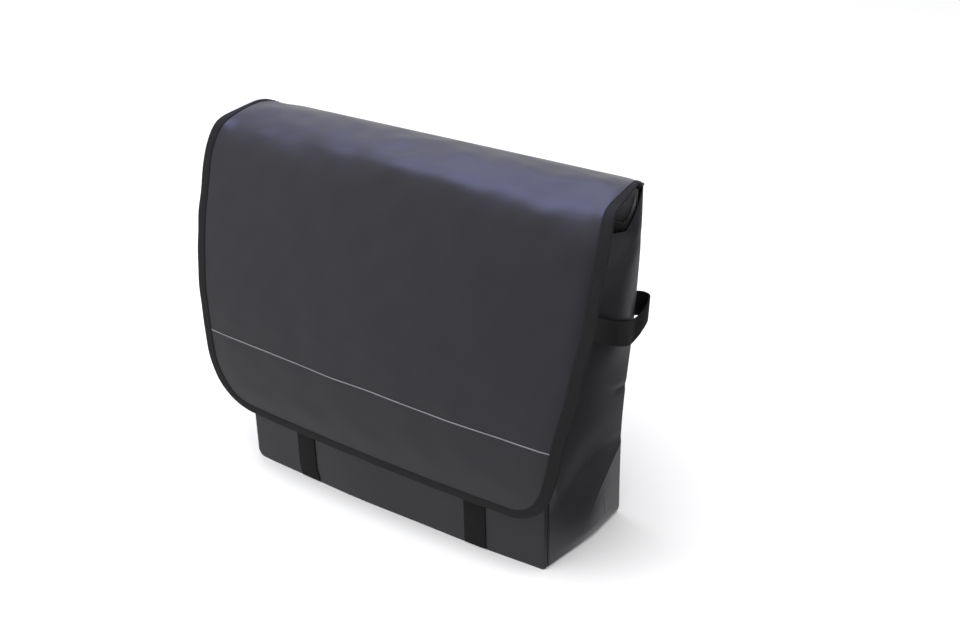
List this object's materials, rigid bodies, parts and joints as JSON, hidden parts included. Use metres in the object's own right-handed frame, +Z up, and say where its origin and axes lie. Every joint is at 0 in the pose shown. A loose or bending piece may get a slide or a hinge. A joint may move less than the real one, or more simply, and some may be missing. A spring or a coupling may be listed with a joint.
{
  "type": "bicycle pannier",
  "caption": "Soft bicycle pannier: a hollow tapered cloth body with folded sides, a wide bound flap over its top and front, webbing straps, a side buckle and moulded hooks on a flat back.",
  "frame": {"origin": "centre of the whole bag's box, on the surface that it stands on", "axes": "+X along the bag's length, to the right seen from its front, +Y towards the flat back with the hooks, +Z up"},
  "size_m": [0.4822, 0.183, 0.3642],
  "materials": {
    "coated_cloth": "satin black coated tarpaulin",
    "edge_tape": "matt ribbed grosgrain tape",
    "reflective_piping": "light grey reflective piping",
    "webbing": "matt black woven webbing",
    "moulded_plastic": "glossy black moulded plastic",
    "rivet_steel": "bright steel rivet head"
  },
  "bodies": {
    "root": {"front_panel": "coated_cloth", "back_panel": "coated_cloth", "base_panel": "coated_cloth", "gusset_left": "coated_cloth", "gusset_right": "coated_cloth", "flap": "coated_cloth", "flap_binding": "edge_tape", "flap_piping": "reflective_piping", "back_hem": "coated_cloth", "front_strap_left": "webbing", "front_strap_right": "webbing", "side_strap_right": "webbing", "side_buckle_left": "moulded_plastic", "side_anchor_left": "webbing", "side_strap_left": "webbing", "rack_hook_left": "moulded_plastic", "rack_hook_right": "moulded_plastic", "hook_rivet_left": "rivet_steel", "hook_rivet_right": "rivet_steel"}
  },
  "joints": []
}
